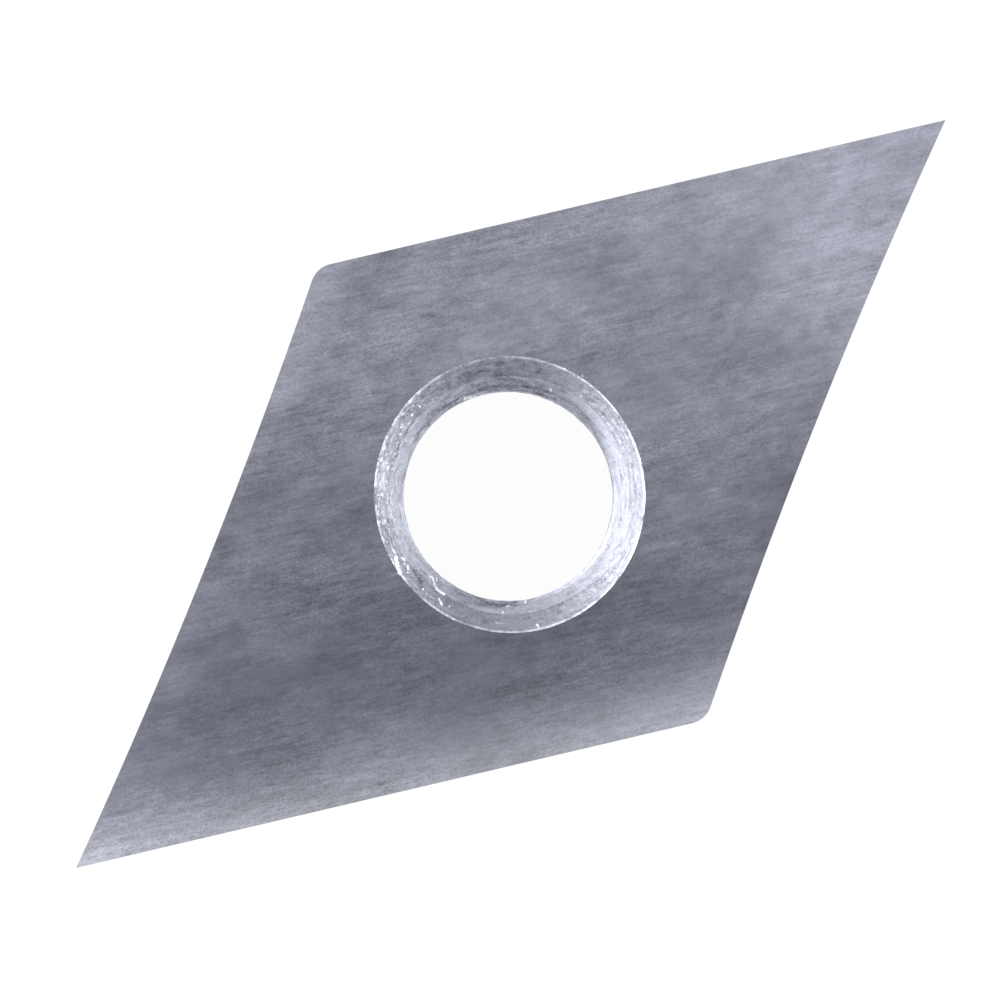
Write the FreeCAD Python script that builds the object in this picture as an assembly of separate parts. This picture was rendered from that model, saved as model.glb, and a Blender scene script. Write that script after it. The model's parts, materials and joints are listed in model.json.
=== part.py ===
import FreeCAD, Part
import os
from math import cos, radians, sin, tan

# Rhombic cutting insert of cemented carbide: one piece, pressed and sintered, then ground on
# its two faces and four flanks, with an as-sintered screw hole.
# Lengths are in millimetres and angles in degrees. The origin is on the hole's axis at the
# seat face. +Z points out of the rake face, and +X runs along the long diagonal to a point.

# Outline at the rake face
edge_length = 13.5          # along one side, between the sharp corners it would have
point_angle = 55.0          # between the two sides that meet at a cutting point
hollow_depth = 0.17         # how far the two hollow sides bow in at mid length
corner_radius = 0.53        # on the two blunt corners, square to the corner's edge

# Section
thickness = 2.5
relief_angle = 25.0         # of all four flanks, from upright, narrowing towards the seat

# Screw hole, as seen from the rake face down to the seat face
rim_break = 0.04            # 45 degree break all round the countersink's mouth
countersink_angle = 60.0    # included
countersink_width = 0.33    # of the conical band, seen from above
throat_angle = 40.0         # included
throat_width = 0.29         # of the conical band, seen from above
hole_diameter = 4.4         # clearance for an M4 screw
foot_break = 0.1            # 45 degree break at the seat face

# How far a cutting tool starts outside the surface it leaves
overrun = 1.0

# Lines of the outline
half_angle = radians(point_angle / 2)
point_reach = edge_length * cos(half_angle)
corner_reach = edge_length * sin(half_angle)
half_width = corner_reach * cos(half_angle)
relief_slope = tan(radians(relief_angle))

# Radii of the hole
hole_radius = hole_diameter / 2
throat_radius = hole_radius + throat_width
countersink_radius = throat_radius + countersink_width
mouth_radius = countersink_radius + rim_break

# Depths in the hole below the rake face
countersink_slope = tan(radians(countersink_angle / 2))
throat_slope = tan(radians(throat_angle / 2))
throat_depth = rim_break + countersink_width / countersink_slope
hole_depth = throat_depth + throat_width / throat_slope

UP = FreeCAD.Vector(0, 0, 1)


def ground_bar():
    """The bar that the two straight flanks bound, twice as long as a side."""
    along = FreeCAD.Vector(cos(half_angle), -sin(half_angle), 0)
    across = FreeCAD.Vector(sin(half_angle), cos(half_angle), 0)
    seat_half_width = half_width - thickness * relief_slope
    start = along * -edge_length
    section = [
        start - across * seat_half_width,
        start + across * seat_half_width,
        start + across * half_width + UP * thickness,
        start - across * half_width + UP * thickness,
    ]
    outline = Part.makePolygon(section + section[:1])
    return Part.Face(outline).extrude(along * (2 * edge_length))


def hollow_grinding(side):
    """The conical cut of one hollow flank; side is 1 at +X and -1 at -X."""
    half_chord = edge_length / 2
    radius = (half_chord ** 2 + hollow_depth ** 2) / (2 * hollow_depth)
    stand_off = radius - hollow_depth
    axis_x = point_reach / 2 + stand_off * sin(half_angle)
    axis_y = corner_reach / 2 + stand_off * cos(half_angle)
    foot = FreeCAD.Vector(side * axis_x, -side * axis_y, -overrun)
    low_radius = radius + (thickness + overrun) * relief_slope
    high_radius = radius - overrun * relief_slope
    return Part.makeCone(low_radius, high_radius, thickness + 2 * overrun, foot, UP)


def blunt_corner_edges(blank):
    """The two standing edges beside the short diagonal."""
    standing = [edge for edge in blank.Edges if edge.BoundBox.ZLength > thickness / 2]
    return [edge for edge in standing if abs(edge.CenterOfMass.y) > abs(edge.CenterOfMass.x)]


def cone_down(radius, slope, top):
    """A cone that points down, with this radius at this height, and runs out upwards."""
    open_radius = radius + overrun * slope
    height = open_radius / slope
    tip = FreeCAD.Vector(0, 0, top + overrun - height)
    return Part.makeCone(0, open_radius, height, tip, UP)


def screw_hole():
    """Everything that the hole takes away: bore, throat, countersink and the two breaks."""
    bore = Part.makeCylinder(
        hole_radius, thickness + 2 * overrun, FreeCAD.Vector(0, 0, -overrun), UP
    )
    throat = cone_down(throat_radius, throat_slope, thickness - throat_depth)
    countersink = cone_down(countersink_radius, countersink_slope, thickness - rim_break)
    rim = cone_down(mouth_radius, 1, thickness)
    foot = cone_down(hole_radius + foot_break, 1, 0).mirror(FreeCAD.Vector(0, 0, 0), UP)
    return bore, throat, countersink, rim, foot


def carbide_insert():
    blank = ground_bar()
    for side in (1, -1):
        blank = blank.cut(hollow_grinding(side))
    blank = blank.makeFillet(corner_radius, blunt_corner_edges(blank))
    for tool in screw_hole():
        blank = blank.cut(tool)
    return blank.Solids[0]


os.makedirs("parts", exist_ok=True)
insert = carbide_insert()
insert.exportStep("parts/carbide_insert.step")
print("volume in cubic mm:", round(insert.Volume, 3))
print("straight wall of the hole in mm:", round(thickness - hole_depth - foot_break, 4))
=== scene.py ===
import json
from math import asin, atan2, cos, pi, radians, sin, sqrt, tan

import bpy
import numpy as np
from mathutils import Matrix, Vector, noise


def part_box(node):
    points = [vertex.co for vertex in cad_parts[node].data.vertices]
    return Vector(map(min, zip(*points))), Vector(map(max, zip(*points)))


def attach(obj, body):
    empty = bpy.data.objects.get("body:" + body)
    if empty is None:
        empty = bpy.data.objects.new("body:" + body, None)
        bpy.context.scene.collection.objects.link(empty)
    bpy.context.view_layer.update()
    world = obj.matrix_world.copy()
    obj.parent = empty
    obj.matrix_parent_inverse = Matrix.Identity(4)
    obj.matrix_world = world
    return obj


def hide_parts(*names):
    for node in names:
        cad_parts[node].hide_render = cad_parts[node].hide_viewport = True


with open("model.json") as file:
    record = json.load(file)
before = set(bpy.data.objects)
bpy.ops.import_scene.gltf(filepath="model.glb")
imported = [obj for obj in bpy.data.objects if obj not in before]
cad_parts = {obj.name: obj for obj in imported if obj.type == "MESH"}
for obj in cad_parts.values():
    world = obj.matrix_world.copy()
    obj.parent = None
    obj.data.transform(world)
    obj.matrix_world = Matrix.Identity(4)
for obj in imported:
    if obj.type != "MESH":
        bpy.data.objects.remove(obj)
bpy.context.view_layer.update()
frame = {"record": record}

# Sizes are in millimetres until a mesh or a shader is made. Places round the screw hole are given
# as an angle in degrees from +X, anticlockwise from above, and a distance from the hole's axis.

MM = 0.001

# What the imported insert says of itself
mounts = {mount["name"]: mount for mount in frame["record"]["mounts"]}
flank_normal = Vector(mounts["straight_flank_a"]["axis"])
hole_wall = mounts["screw_hole"]
_, box_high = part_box("carbide_insert")
point_reach = box_high.x / MM
thickness = box_high.z / MM
half_angle = atan2(flank_normal.x, flank_normal.y)
relief_slope = tan(asin(-flank_normal.z))
hole_radius = hole_wall["dims"]["r_mm"]
wall_length = hole_wall["dims"]["length_mm"]
wall_foot = hole_wall["pos_m"][2] / MM - wall_length / 2
wall_top = wall_foot + wall_length

# Sizes that the insert's drawing holds
hollow_depth = 0.17
corner_radius = 0.53
throat_radius = 2.49
throat_top = 1.888
countersink_radius = 2.82
rim_break = 0.04

# Sizes of the finish
cutting_edge_hone = 0.008
seat_edge_break = 0.03
mouth_oval = 0.035          # how far the ground mouth of the hole is out of round
mouth_oval_angle = 64       # where it is widest, in degrees
hole_drift = 0.035          # how far the hole sits off the middle of the insert
hole_drift_angle = 170      # towards where, in degrees

# Lines of the outline
edge_length = point_reach / cos(half_angle)
corner_reach = edge_length * sin(half_angle)
half_width = corner_reach * cos(half_angle)
hollow_radius = (edge_length ** 2 / 4 + hollow_depth ** 2) / (2 * hollow_depth)
mouth_radius = countersink_radius + rim_break

# How the photograph sees the insert
PHOTO_SIZE = 1000
PHOTO_INSERT_CENTRE = (511.2, 493.6)
PHOTO_PIXELS_PER_MM = 47.94
PHOTO_TURN = 40.72          # how far +X points above the picture's horizontal, in degrees
GLINT_SIDE = 172          # where glints are painted on the countersink as bright flecks, in degrees above that horizontal

COLUMNS = 1024              # mesh columns round the insert, a multiple of four

# Colours of the ground faces across the wheel's path: the distance in mm from the hole's axis
# towards the straight flank that faces +Y, and the colour there. Over the face's own grey they
# paint the studio's reflection: a darker band and paler margins.
COLOUR_AND_PAINTED_REFLECTION_ACROSS_THE_PATH = [
    (-5.5, "#A8AAB5"), (-4.8, "#8C8E9A"), (-4.1, "#737581"), (-3.2, "#6B6D79"), (-1.8, "#6E707C"),
    (-0.6, "#777985"), (1.0, "#7A7C88"), (3.0, "#868894"), (5.5, "#858793"),
]


def linear(hex_colour):
    """An sRGB hex colour as linear red, green and blue with full alpha."""
    values = [int(hex_colour[i:i + 2], 16) / 255 for i in (1, 3, 5)]
    curve = [v / 12.92 if v <= 0.04045 else ((v + 0.055) / 1.055) ** 2.4 for v in values]
    return (*curve, 1.0)


def direction(angle):
    return np.array([cos(angle), sin(angle)])


def place(angle, radius):
    """A flat point at this angle in degrees and this distance from the hole's axis."""
    return radius * direction(radians(angle))


def outline(inset, fractions):
    """Half of the outline, drawn in by inset, from the point at +X over the corner at +Y.

    fractions holds one place per column: 0 to 1 along the straight side, 1 to 2 round the
    blunt corner, and 2 to 3 along the hollow side.
    """
    straight_normal = direction(pi / 2 - half_angle)
    straight_along = direction(pi - half_angle)
    line = half_width - inset
    reach = hollow_radius + inset
    stand_off = hollow_radius - hollow_depth
    side_middle = np.array([-point_reach, corner_reach]) / 2
    wheel = side_middle + stand_off * direction(pi / 2 + half_angle)

    def meeting(distance, centre, radius, way):
        """Where a line beside the straight flank meets a circle; way is 1 or -1 along it."""
        foot = straight_normal * distance
        run = (centre - foot) @ straight_along
        gap = np.linalg.norm(centre - foot - run * straight_along)
        return foot + straight_along * (run + way * sqrt(radius ** 2 - gap ** 2))

    point = meeting(line, -wheel, reach, 1)
    corner = meeting(line - corner_radius, wheel, reach + corner_radius, -1)
    corner_start = corner + straight_normal * corner_radius
    to_wheel = (wheel - corner) / np.linalg.norm(wheel - corner)
    turn_start = atan2(straight_normal[1], straight_normal[0])
    turn_end = atan2(to_wheel[1], to_wheel[0])
    hollow_start = atan2(-to_wheel[1], -to_wheel[0])
    hollow_end = atan2(-point[1] - wheel[1], -point[0] - wheel[0])

    points = []
    for fraction in fractions:
        if fraction < 1:
            points.append(point + (corner_start - point) * fraction)
        elif fraction < 2:
            turn = turn_start + (turn_end - turn_start) * (fraction - 1)
            points.append(corner + corner_radius * direction(turn))
        else:
            turn = hollow_start + (hollow_end - hollow_start) * (fraction - 2)
            points.append(wheel + reach * direction(turn))
    return np.array(points)


def straight_columns():
    """The outline's fraction at each column of the first half, so that columns run straight out."""
    trial = np.linspace(0, 3, 6001)[:-1]
    points = outline(0, trial)
    trial_bearings = np.unwrap(np.arctan2(points[:, 1], points[:, 0]))
    return np.interp(bearings[:COLUMNS // 2], trial_bearings, trial)


bearings = np.arange(COLUMNS) * 2 * pi / COLUMNS
column_fractions = straight_columns()


def outline_row(inset, height):
    """One closed row of points on the flanks or on the edge of a face."""
    half = outline(inset, column_fractions)
    return np.column_stack([np.concatenate([half, -half]), np.full(COLUMNS, height)])


def hole_row(radius, height):
    """One closed row of points round the screw hole, a little off the middle and out of round."""
    share = max(0, (radius - throat_radius) / (mouth_radius - throat_radius))
    swell = mouth_oval * share * np.cos(2 * (bearings - radians(mouth_oval_angle)))
    middle_x, middle_y = place(hole_drift_angle, hole_drift)
    return np.column_stack([
        middle_x + (radius + swell) * np.cos(bearings),
        middle_y + (radius + swell) * np.sin(bearings),
        np.full(COLUMNS, height),
    ])


class Mark:
    """A burr, chip, pit or patch along a few places, in millimetres.

    width is how far it reaches to each side, rise how far it stands out of the skin, and shine
    how bright it is: 1 for a fresh break with its glint painted in near-white, and below 0 for a
    dark spot.
    """

    def __init__(self, places, width, rise, shine):
        self.path = [place(angle, radius) for angle, radius in places]
        self.width = width
        self.rise = rise
        self.shine = shine

    def weight(self, points):
        """1 in the middle of the mark, with ragged edges, and 0 outside it and down in the bore."""
        reach = 1.6 * self.width
        depth_in_bore = 0.05
        rag_size = 0.05
        flat = points[:, :2]
        nearest = np.full(len(flat), np.inf)
        ends = self.path[1:] or self.path
        for start, end in zip(self.path, ends):
            run = end - start
            along = np.clip((flat - start) @ run / max(run @ run, 1e-9), 0, 1)
            gap = np.linalg.norm(flat - start - along[:, None] * run, axis=1)
            nearest = np.minimum(nearest, gap)
        weight = np.zeros(len(flat))
        near = (nearest < reach) & (points[:, 2] > wall_top - depth_in_bore)
        for i in np.flatnonzero(near):
            ragged = 0.9 * noise.noise(Vector(points[i]) / rag_size)
            share = min(1, max(0, 1.1 - nearest[i] / self.width + ragged))
            weight[i] = share * share * (3 - 2 * share)
        return weight


# A later mark lies over an earlier one
# Marks whose shine is above 0 are real chips, crumbs and burrs with their glints painted in
# near-white
MARKS = [
    # dark hollows of the skin
    Mark([(176.5, 2.56), (184, 2.64)], 0.080, -0.006, -0.45),
    Mark([(56, 2.70), (53, 2.73)], 0.080, -0.006, -0.45),
    Mark([(79, 2.62), (82, 2.62)], 0.090, -0.006, -0.40),
    Mark([(92, 2.72)], 0.070, -0.006, -0.40),
    Mark([(86, 2.56)], 0.050, -0.005, -0.3),
    Mark([(105, 2.54), (112, 2.53), (117, 2.54)], 0.030, -0.004, -0.4),
    Mark([(76, 2.29), (84, 2.29), (92.3, 2.32)], 0.032, -0.005, -0.50),
    Mark([(62, 2.29), (76, 2.29)], 0.045, -0.004, -0.35),
    Mark([(37, 2.60), (36, 2.66)], 0.080, -0.006, -0.40),
    Mark([(40, 2.30), (52, 2.30), (64, 2.31)], 0.060, -0.003, -0.35),
    Mark([(24, 2.215), (40, 2.215), (61, 2.215)], 0.045, -0.003, -0.42),
    Mark([(327, 2.36), (329, 2.34)], 0.050, -0.006, -0.35),
    Mark([(213, 2.57), (224, 2.52)], 0.025, -0.004, -0.35),
    Mark([(217.5, 2.69), (224, 2.64)], 0.025, -0.004, -0.35),
    Mark([(235.5, 2.62), (238, 2.62)], 0.032, -0.004, -0.40),
    Mark([(237.7, 2.48)], 0.024, -0.004, -0.35),
    # pale patch, and pale streaks at the bottom of the photograph
    Mark([(126, 2.68), (131, 2.69), (137, 2.68)], 0.120, 0.002, 0.15),
    Mark([(222.7, 2.715), (225, 2.71), (227.7, 2.69)], 0.014, 0.003, 0.25),
    Mark([(229.3, 2.79)], 0.018, 0.004, 0.35),
    # chip out of the rim
    Mark([(168.5, 2.75), (171.5, 2.80), (175, 2.86)], 0.04, -0.012, 1.2),
    # crumbs beside it
    Mark([(169.5, 2.64), (171, 2.61)], 0.018, 0.010, 0.7),
    Mark([(172.5, 2.66)], 0.020, 0.010, 0.8),
    Mark([(174, 2.62), (175.5, 2.66)], 0.018, 0.010, 0.7),
    Mark([(176.5, 2.71)], 0.018, 0.010, 0.8),
    # bright worm of metal along the throat
    Mark([(184.5, 2.40), (186, 2.38), (188, 2.44), (190, 2.50), (192, 2.53), (195.5, 2.51)],
         0.020, 0.012, 0.8),
    Mark([(187.5, 2.33), (189, 2.36), (188.5, 2.40)], 0.016, 0.010, 0.6),
    # slash and crumbs below it
    Mark([(194.5, 2.66), (197, 2.72)], 0.024, 0.014, 1.0),
    Mark([(186.5, 2.71)], 0.022, 0.012, 0.9),
    Mark([(188, 2.64)], 0.018, 0.010, 0.6),
    Mark([(189, 2.73)], 0.020, 0.012, 0.9),
    Mark([(195.5, 2.52)], 0.022, 0.012, 0.9),
    Mark([(200.5, 2.68)], 0.020, 0.010, 0.8),
    Mark([(204.5, 2.89)], 0.024, -0.008, 1.0),
    # bottom of the hole in the photograph
    Mark([(225.5, 2.47)], 0.022, 0.012, 1.0),
    Mark([(227.5, 2.34), (228.5, 2.34)], 0.026, 0.014, 1.1),
    Mark([(237, 2.27), (237.5, 2.24)], 0.022, -0.010, 1.2),
    Mark([(241, 2.84), (240.5, 2.78)], 0.020, 0.004, 0.9),
    # upper right, top and left of the hole in the photograph
    Mark([(18, 2.88)], 0.020, -0.006, 1.0),
    Mark([(13.5, 2.52)], 0.020, 0.010, 0.9),
    Mark([(26, 2.83)], 0.024, 0.004, 0.9),
    Mark([(28, 2.34), (28.5, 2.36)], 0.024, 0.012, 1.1),
    Mark([(37.2, 2.34)], 0.022, 0.010, 1.0),
    Mark([(68.5, 2.205), (71.5, 2.22), (74.5, 2.235)], 0.034, 0.030, 1.3),
    Mark([(64.5, 2.205), (68, 2.205)], 0.014, 0.012, 0.5),
    Mark([(89, 2.26)], 0.020, 0.010, 0.9),
    Mark([(92, 2.85)], 0.026, 0.004, 1.0),
    Mark([(95.5, 2.64)], 0.022, 0.012, 1.1),
    Mark([(100.5, 2.64)], 0.020, 0.010, 0.8),
    Mark([(134, 2.25)], 0.024, -0.008, 0.9),
]


def skin_relief(points):
    """How far the as-sintered skin stands out at each point.

    Streaks run round the hole, about 0.6 mm long and 0.1 mm wide, with pimples and grain on them.
    """
    pimple_size = 0.14
    grain_size = 0.05
    heights = []
    for x, y, z in points:
        streak = noise.noise(Vector((1.6 * x, 1.6 * y, 9 * z)))
        pimple = noise.noise(Vector((x, y, z)) / pimple_size)
        grain = noise.noise(Vector((x, y, z)) / grain_size)
        heights.append(0.006 * streak + 0.009 * pimple + 0.003 * grain)
    return np.array(heights)


def steps(start, end, count):
    """count pairs from start towards end, without the end itself."""
    return [tuple(np.array(start) + (np.array(end) - start) * i / count) for i in range(count)]


def hole_rows():
    """The hole's skin from the seat face up to the rake face: rows, outward slopes and finishes."""
    profile = [
        ("hole", (hole_radius + wall_foot, 0.0), 2),
        ("hole", (hole_radius, wall_foot), 5),
        ("hole", (hole_radius, wall_top - 0.06), 2),
        ("hole", (hole_radius, wall_top), 20),
        ("hole", (throat_radius, throat_top), 28),
        ("rim", (countersink_radius, thickness - rim_break), 4),
        ("rake", (mouth_radius, thickness), 0),
    ]
    rows = []
    for (finish, start, count), (_, end, _) in zip(profile, profile[1:]):
        run = np.array(end) - start
        slope = np.array([-run[1], run[0]]) / np.linalg.norm(run)
        for radius, height in steps(start, end, count):
            rows.append((hole_row(radius, height), slope, finish))
    return rows


def insert_rows():
    """All rows of the insert's skin in order, each with its way out of the skin and its finish."""
    rows = hole_rows()
    flat = np.array([0, 1])
    mouth = hole_row(mouth_radius, thickness)
    rake_edge = outline_row(cutting_edge_hone, thickness)
    # rows close together beside the mouth, where chips break into the face
    for margin in (0, 0.02, 0.04, 0.065, 0.1, 0.15):
        rows.append((hole_row(mouth_radius + margin, thickness), flat, "rake"))
    for share in (0.08, 0.2, 0.4, 0.6, 0.8):
        rows.append((mouth + (rake_edge - mouth) * share, flat, "rake"))
    rows.append((rake_edge, flat, "flank"))
    flank_high = outline_row(cutting_edge_hone * relief_slope, thickness - cutting_edge_hone)
    flank_low = outline_row((thickness - seat_edge_break) * relief_slope, seat_edge_break)
    for share in np.linspace(0, 1, 9):
        rows.append((flank_high + (flank_low - flank_high) * share, flat * 0, "flank"))
    seat_edge = outline_row(thickness * relief_slope + seat_edge_break, 0)
    foot = rows[0][0]
    for share in (0, 0.25, 0.5, 0.75):
        rows.append((seat_edge + (foot - seat_edge) * share, flat * 0, "seat"))
    return rows


def insert_mesh(materials):
    """The insert's skin as one closed mesh of quads, with the marks' shine kept on its points."""
    rows = insert_rows()
    names = list(materials)
    points, rises, quads, finishes = [], [], [], []
    for i, (row, slope, finish) in enumerate(rows):
        here = i * COLUMNS
        above = (i + 1) % len(rows) * COLUMNS
        for k in range(COLUMNS):
            after = (k + 1) % COLUMNS
            quads.append((here + k, above + k, above + after, here + after))
        finishes += [names.index(finish)] * COLUMNS
        outward = slope[0] * np.stack([np.cos(bearings), np.sin(bearings)], 1)
        points.append(row)
        rises.append(np.column_stack([outward, np.full(COLUMNS, slope[1])]))
    points = np.concatenate(points)
    rises = np.concatenate(rises)
    shine = np.zeros(len(points))
    lift = np.zeros(len(points))
    sintered = np.repeat([finish == "hole" for _, _, finish in rows], COLUMNS)
    lift[sintered] = skin_relief(points[sintered])
    for mark in MARKS:
        weight = mark.weight(points)
        lift += mark.rise * weight
        shine = np.where(weight > 0, shine * (1 - weight) + mark.shine * weight, shine)
    points = points + rises * lift[:, None]
    points[:, 2] = np.clip(points[:, 2], 0, thickness)

    mesh = bpy.data.meshes.new("carbide_insert_skin")
    mesh.from_pydata((points * MM).tolist(), [], quads)
    for material in materials.values():
        mesh.materials.append(material)
    mesh.polygons.foreach_set("material_index", finishes)
    mesh.attributes.new("shine", "FLOAT", "POINT").data.foreach_set("value", shine)
    mesh.shade_smooth()
    mesh.set_sharp_from_angle(angle=radians(30))
    return mesh


def add(tree, kind, attributes, inputs):
    """Adds one shader node with its settings, and gives each input a value or a link."""
    node = tree.nodes.new("ShaderNode" + kind)
    for name, value in attributes.items():
        setattr(node, name, value)
    for name, value in inputs.items():
        if isinstance(value, bpy.types.NodeSocket):
            tree.links.new(value, node.inputs[name])
        else:
            node.inputs[name].default_value = value
    return node


def new_material(name):
    material = bpy.data.materials.new(name)
    material.use_nodes = True
    material.node_tree.nodes.clear()
    return material, material.node_tree


def layered_tone(tree, vector, layers, turn=0.0):
    """Adds up layers of noise round 1.

    Each layer has the length, width and height of its features in mm, how far it moves the
    tone up and down, and its detail. turn is the angle of their length from +X.
    """
    total = 1.0
    for size, share, detail in layers:
        laid = add(tree, "Mapping", {"vector_type": "TEXTURE"}, {
            "Vector": vector, "Rotation": (0, 0, turn), "Scale": [side * MM for side in size],
        })
        speckle = add(tree, "TexNoise", {}, {
            "Vector": laid.outputs["Vector"], "Scale": 1.0, "Detail": detail, "Roughness": 0.55,
        })
        centred = add(tree, "Math", {"operation": "SUBTRACT"}, {0: speckle.outputs["Fac"], 1: 0.5})
        total = add(tree, "Math", {"operation": "MULTIPLY_ADD"}, {
            0: centred.outputs[0], 1: 4 * share, 2: total,
        }).outputs[0]
    return total


def stretch(tree, value, low, high, at_low, at_high):
    """Runs smoothly from at_low to at_high as the value goes from low to high."""
    return add(tree, "MapRange", {"interpolation_type": "SMOOTHSTEP"}, {
        "Value": value, "From Min": low, "From Max": high, "To Min": at_low, "To Max": at_high,
    }).outputs["Result"]


def times(tree, colour, tone):
    """A colour made paler or darker by a tone, which is 1 where it stays."""
    return add(tree, "VectorMath", {"operation": "SCALE"}, {0: colour, "Scale": tone}).outputs[0]


def with_dark_spots_and_painted_glints(tree, colour):
    """The colour with its dark spots, and its crumbs and breaks with their glints painted in
    near-white, from the mesh's shine.
    """
    shine = add(tree, "Attribute", {"attribute_name": "shine"}, {}).outputs["Fac"]
    dark_spots = stretch(tree, shine, -1.0, 0.0, 0.0, 1.0)
    spotted = times(tree, colour, dark_spots)
    return add(tree, "Mix", {"data_type": "RGBA"}, {
        "Factor": shine, "A": spotted, "B": linear("#F6F6FA"),
    }).outputs["Result"]


def colour_and_painted_reflection_across_the_path(tree, across):
    """The colour of a ground face at this distance in mm across the wheel's path: its own grey,
    with the studio's reflection painted over it in bands.
    """
    share = add(tree, "MapRange", {}, {
        "Value": across, "From Min": -half_width, "From Max": half_width,
    })
    ramp = add(tree, "ValToRGB", {}, {"Fac": share.outputs["Result"]})
    stops = ramp.color_ramp.elements
    while len(stops) < len(COLOUR_AND_PAINTED_REFLECTION_ACROSS_THE_PATH):
        stops.new(1.0)
    for stop, (distance, colour) in zip(stops, COLOUR_AND_PAINTED_REFLECTION_ACROSS_THE_PATH):
        stop.position = distance / (2 * half_width) + 0.5
        stop.color = linear(colour)
    return ramp.outputs["Color"]


def product(tree, *tones):
    """All these tones multiplied."""
    total = tones[0]
    for tone in tones[1:]:
        total = add(tree, "Math", {"operation": "MULTIPLY"}, {0: total, 1: tone}).outputs[0]
    return total


def swing(tree, tone, factor, middle):
    """The swing of a tone round 1, made larger or smaller and laid round another middle."""
    off = add(tree, "Math", {"operation": "SUBTRACT"}, {0: tone, 1: 1.0}).outputs[0]
    return add(tree, "Math", {"operation": "MULTIPLY_ADD"}, {
        0: off, 1: factor, 2: middle,
    }).outputs[0]


def carbide_surface_ground():
    """Cemented carbide, ground flat by a diamond wheel.

    The eye sees a dull bluish grey metal with short fine lines along the wheel's path, which
    are fainter in calm patches and towards the point at +X. Over them lie soft smudges, and a
    painted reflection of the studio's light: a slow change of tone across the path, paler towards
    the two points and beside one hollow flank.
    A real wheel's lines are a few micrometres wide, so here they are drawn coarser, to show.
    """
    material, tree = new_material("carbide_surface_ground")
    here = add(tree, "TexCoord", {}, {}).outputs["Object"]
    lengthwise = add(tree, "SeparateXYZ", {}, {0: here}).outputs["X"]
    even_lines = layered_tone(tree, here, [
        ((1.2, 0.09, 1), 0.14, 4.0),
        ((0.28, 0.045, 1), 0.17, 3.0),
        ((0.045, 0.04, 1), 0.19, 1.0),
    ], -half_angle)
    strength = product(
        tree, layered_tone(tree, here, [((2.4, 1.2, 1), 0.45, 1.0)], -half_angle),
        stretch(tree, lengthwise, 1.0 * MM, 8.0 * MM, 1.0, 0.70),
    )
    lines = swing(tree, even_lines, strength, 1.0)
    smudges = layered_tone(tree, here, [
        ((3.6, 2.2, 1), 0.15, 1.0),
        ((1.3, 0.7, 1), 0.18, 3.0),
        ((0.40, 0.25, 1), 0.15, 4.0),
    ], radians(6) - half_angle)
    across = add(tree, "VectorMath", {"operation": "DOT_PRODUCT"}, {
        0: here, 1: (sin(half_angle) / MM, cos(half_angle) / MM, 0),
    }).outputs["Value"]
    # The painted bands of reflection across the path waver with the smudges, by a few tenths of a
    # millimetre
    wavy_across = swing(tree, smudges, 0.8, across)
    towards_hollow = add(tree, "VectorMath", {"operation": "DOT_PRODUCT"}, {
        0: here, 1: (-sin(half_angle) / MM, cos(half_angle) / MM, 0),
    }).outputs["Value"]
    # The last four stretches are painted reflection of the studio's light: a little darker on the
    # -X half, paler towards both points and beside one hollow flank
    tone = product(
        tree, lines, smudges,
        stretch(tree, lengthwise, -6.0 * MM, 3.0 * MM, 0.90, 1.07),
        stretch(tree, lengthwise, 4.5 * MM, 10.5 * MM, 1.0, 1.44),
        stretch(tree, lengthwise, -10.5 * MM, -7.0 * MM, 1.30, 1.0),
        stretch(tree, towards_hollow, 4.2, 5.4, 1.0, 1.20),
    )
    colour = times(tree, colour_and_painted_reflection_across_the_path(tree, wavy_across), tone)
    bump = add(tree, "Bump", {}, {"Height": lines, "Strength": 1.0, "Distance": 0.003 * MM})
    shader = add(tree, "BsdfPrincipled", {}, {
        "Base Color": with_dark_spots_and_painted_glints(tree, colour), "Metallic": 1.0,
        "Roughness": stretch(tree, lines, 0.6, 1.4, 0.27, 0.20),
        "Normal": bump.outputs["Normal"],
    })
    add(tree, "OutputMaterial", {}, {"Surface": shader.outputs["BSDF"]})
    return material


def carbide_flank_ground():
    """Cemented carbide, its flanks ground by a cup wheel.

    The eye sees fine level lines round the flanks, drawn coarser than a real wheel's so that they
    show, and a little less gloss than on the faces.
    """
    material, tree = new_material("carbide_flank_ground")
    here = add(tree, "TexCoord", {}, {}).outputs["Object"]
    lines = layered_tone(tree, here, [
        ((2.5, 2.5, 0.06), 0.18, 2.0),
        ((0.6, 0.6, 0.025), 0.20, 2.0),
        ((1.4, 1.4, 0.9), 0.12, 2.0),
    ])
    bump = add(tree, "Bump", {}, {"Height": lines, "Strength": 1.0, "Distance": 0.003 * MM})
    shader = add(tree, "BsdfPrincipled", {}, {
        "Base Color": times(tree, linear("#7E808B")[:3], lines), "Metallic": 1.0,
        "Roughness": stretch(tree, lines, 0.6, 1.4, 0.42, 0.30),
        "Normal": bump.outputs["Normal"],
    })
    add(tree, "OutputMaterial", {}, {"Surface": shader.outputs["BSDF"]})
    return material


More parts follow.
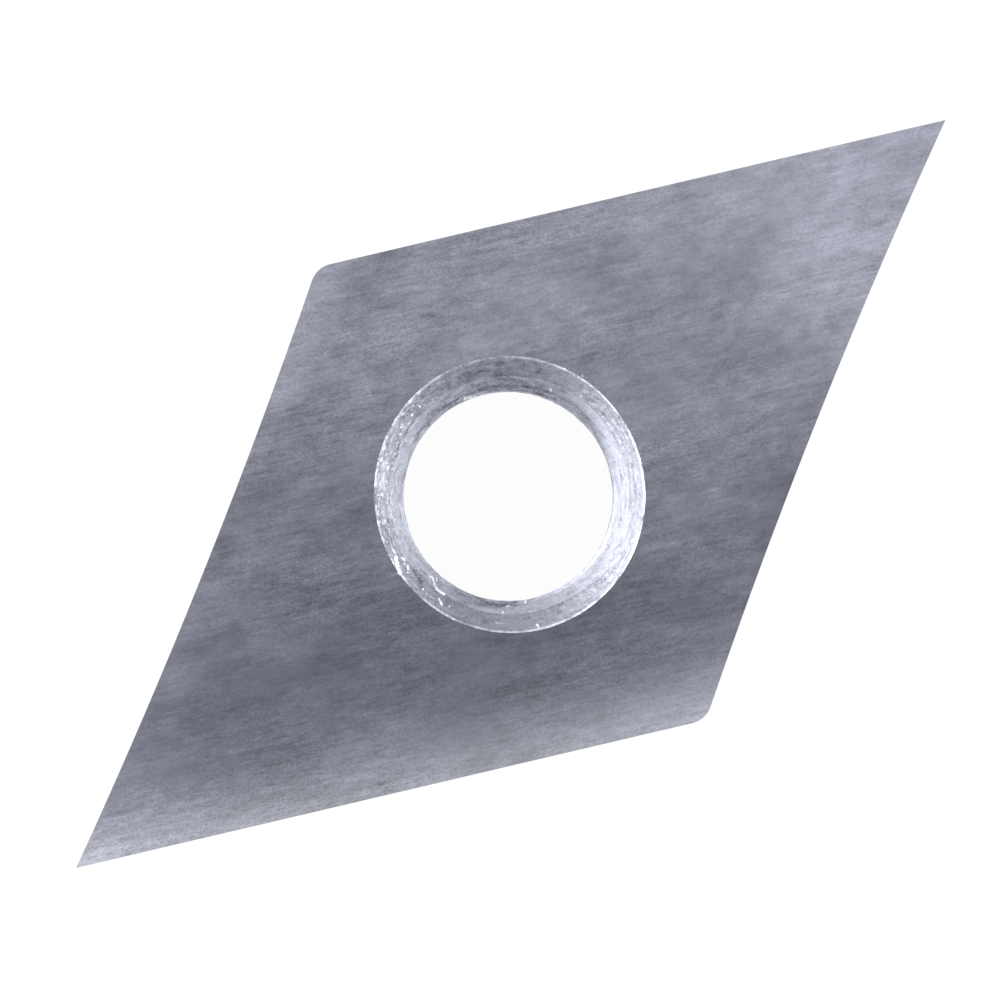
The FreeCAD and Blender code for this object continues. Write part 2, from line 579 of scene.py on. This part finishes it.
def carbide_as_sintered(name, base, rough, smooth):
    """Cemented carbide as it left the furnace, unground, in the screw hole.

    The eye sees a rougher and blotchier skin than on the ground faces, with streaks round the
    hole from the pressing tool, crumbs and breaks. The throat below the countersink is painted
    paler, most of all along its foot, to lift the shade deep in the hole, and on one side of the
    countersink glints are painted in as bright flecks. The broken rim is the same skin, paler
    and rougher, and shows as a thin white line in the photo.
    """
    material, tree = new_material(name)
    here = add(tree, "TexCoord", {}, {}).outputs["Object"]
    blotches = layered_tone(tree, here, [
        ((0.7, 0.7, 0.10), 0.22, 3.0),
        ((0.26, 0.26, 0.20), 0.42, 4.0),
        ((0.06, 0.06, 0.06), 0.34, 2.0),
    ])
    height = add(tree, "SeparateXYZ", {}, {0: here}).outputs["Z"]
    towards_glint_side = add(tree, "VectorMath", {"operation": "DOT_PRODUCT"}, {
        0: here, 1: across_photo(GLINT_SIDE) / MM,
    }).outputs["Value"]
    # Painted light: the throat is painted 1.4 times paler below the countersink, and up to 1.45
    # times more along its foot, to lift the shade deep in the hole
    tone = product(
        tree, blotches,
        stretch(tree, height, (throat_top - 0.03) * MM, (throat_top + 0.03) * MM, 1.4, 1.0),
        stretch(tree, height, (wall_top + 0.02) * MM, (wall_top + 0.30) * MM, 1.45, 1.0),
    )
    # Painted glints: bright flecks mixed in on one side of the countersink
    glint_noise = layered_tone(tree, here, [((0.12, 0.12, 0.13), 0.3, 3.0)])
    painted_glints = product(
        tree, stretch(tree, glint_noise, 1.03, 1.25, 0.0, 0.65),
        stretch(tree, towards_glint_side, throat_radius - 0.6, throat_radius + 0.1, 0.0, 1.0),
    )
    glinted = add(tree, "Mix", {"data_type": "RGBA"}, {
        "Factor": painted_glints, "A": times(tree, linear(base)[:3], tone), "B": linear("#CCCED6"),
    }).outputs["Result"]
    bump = add(tree, "Bump", {}, {"Height": blotches, "Strength": 1.0, "Distance": 0.006 * MM})
    shader = add(tree, "BsdfPrincipled", {}, {
        "Base Color": with_dark_spots_and_painted_glints(tree, glinted), "Metallic": 1.0,
        "Roughness": stretch(tree, blotches, 0.6, 1.5, rough, smooth),
        "Normal": bump.outputs["Normal"],
    })
    add(tree, "OutputMaterial", {}, {"Surface": shader.outputs["BSDF"]})
    return material


def carbide_insert():
    ground = carbide_surface_ground()
    mesh = insert_mesh({
        "hole": carbide_as_sintered("carbide_as_sintered", "#7D7F89", 0.72, 0.50),
        "rim": carbide_as_sintered("carbide_broken_rim", "#91939D", 0.85, 0.68),
        "rake": ground, "flank": carbide_flank_ground(), "seat": ground,
    })
    piece = bpy.data.objects.new("carbide_insert_skin", mesh)
    bpy.context.scene.collection.objects.link(piece)
    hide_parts("carbide_insert")
    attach(piece, "root")


def across_photo(angle):
    """A level direction at this angle above the picture's horizontal."""
    return Vector((*direction(radians(angle - PHOTO_TURN)), 0))


def softbox(name, angle, height_angle, distance, size, power):
    """A round soft lamp that faces the insert from this side of the picture."""
    lamp = bpy.data.lights.new(name, "AREA")
    lamp.shape = "DISK"
    lamp.size = size * MM
    lamp.energy = power
    lamp.color = linear("#FFFEFA")[:3]
    holder = bpy.data.objects.new(name, lamp)
    rise = radians(height_angle)
    away = across_photo(angle) * cos(rise) + Vector((0, 0, sin(rise)))
    holder.location = away * distance * MM
    holder.rotation_mode = "QUATERNION"
    holder.rotation_quaternion = away.to_track_quat("Z", "Y")
    holder.visible_camera = False
    bpy.context.scene.collection.objects.link(holder)


def seen_directly(tree):
    """1 for what the eye, a gloss or a clear part looks at, and 0 for light that spreads."""
    path = add(tree, "LightPath", {}, {}).outputs
    seen = add(tree, "Math", {"operation": "MAXIMUM"}, {
        0: path["Is Camera Ray"], 1: path["Is Glossy Ray"],
    })
    return add(tree, "Math", {"operation": "MAXIMUM"}, {
        0: seen.outputs[0], 1: path["Is Transmission Ray"],
    }).outputs[0]


def white_floor():
    """A sheet of white paper with a faint shadow on it, clear to an eye that looks from below."""
    material, tree = new_material("white_paper")
    glow_share = add(tree, "Math", {"operation": "MULTIPLY"}, {0: seen_directly(tree), 1: 0.96})
    paper = add(tree, "BsdfDiffuse", {}, {"Color": linear("#F2F2F2")})
    glow = add(tree, "Emission", {}, {"Color": linear("#FFFFFF"), "Strength": 1.0})
    upper_side = add(tree, "MixShader", {}, {
        0: glow_share.outputs[0], 1: paper.outputs[0], 2: glow.outputs[0],
    })
    clear = add(tree, "BsdfTransparent", {}, {})
    sheet = add(tree, "MixShader", {}, {
        0: add(tree, "NewGeometry", {}, {}).outputs["Backfacing"],
        1: upper_side.outputs[0], 2: clear.outputs[0],
    })
    add(tree, "OutputMaterial", {}, {"Surface": sheet.outputs[0]})
    half, level = 600 * MM, -0.02 * MM
    mesh = bpy.data.meshes.new("floor")
    corners = [(x * half, y * half, level) for x, y in ((-1, -1), (1, -1), (1, 1), (-1, 1))]
    mesh.from_pydata(corners, [], [(0, 1, 2, 3)])
    mesh.materials.append(material)
    floor = bpy.data.objects.new("floor", mesh)
    bpy.context.scene.collection.objects.link(floor)


def studio_air():
    """White all round to the eye and in gloss, and a softer white for light that spreads."""
    world = bpy.data.worlds.new("white_studio")
    world.use_nodes = True
    tree = world.node_tree
    tree.nodes.clear()
    soft = add(tree, "Background", {}, {"Color": linear("#FFFFFF"), "Strength": 0.8})
    white = add(tree, "Background", {}, {"Color": linear("#FFFFFF"), "Strength": 1.0})
    mixed = add(tree, "MixShader", {}, {
        0: seen_directly(tree), 1: soft.outputs[0], 2: white.outputs[0],
    })
    add(tree, "OutputWorld", {}, {"Surface": mixed.outputs[0]})
    bpy.context.scene.world = world


def camera():
    """A long lens above the insert, leaning a little towards the point at -X."""
    lens, sensor = 700.0, 36.0
    lean, lean_bearing = radians(1.5), radians(193)
    view_width = PHOTO_SIZE / PHOTO_PIXELS_PER_MM
    distance = view_width * lens / sensor
    right, up = across_photo(0), across_photo(90)
    shift_right = (PHOTO_SIZE / 2 - PHOTO_INSERT_CENTRE[0]) / PHOTO_PIXELS_PER_MM
    shift_up = (PHOTO_INSERT_CENTRE[1] - PHOTO_SIZE / 2) / PHOTO_PIXELS_PER_MM
    target = right * shift_right + up * shift_up + Vector((0, 0, thickness))
    away = Vector((*(direction(lean_bearing) * sin(lean)), cos(lean)))
    side = up.cross(away).normalized()
    top = away.cross(side)
    turn = Matrix((side, top, away)).transposed().to_4x4()
    eye = bpy.data.cameras.new("camera")
    eye.lens, eye.sensor_width = lens, sensor
    eye.clip_start, eye.clip_end = 10 * MM, 2000 * MM
    holder = bpy.data.objects.new("camera", eye)
    holder.matrix_world = Matrix.Translation((target + away * distance) * MM) @ turn
    bpy.context.scene.collection.objects.link(holder)
    bpy.context.scene.camera = holder


carbide_insert()
white_floor()
studio_air()
# The lamps stand off the eight main views round the insert, whose ground face would mirror them
softbox("upper_left_softbox", 153, 20, 150, 20, 0.80)
softbox("lower_left_softbox", 198, 14, 150, 20, 0.46)
softbox("upper_right_softbox", 18, 17, 150, 20, 0.38)
softbox("lower_right_softbox", 333, 15, 150, 20, 0.19)
camera()
bpy.context.scene.view_settings.view_transform = "Standard"
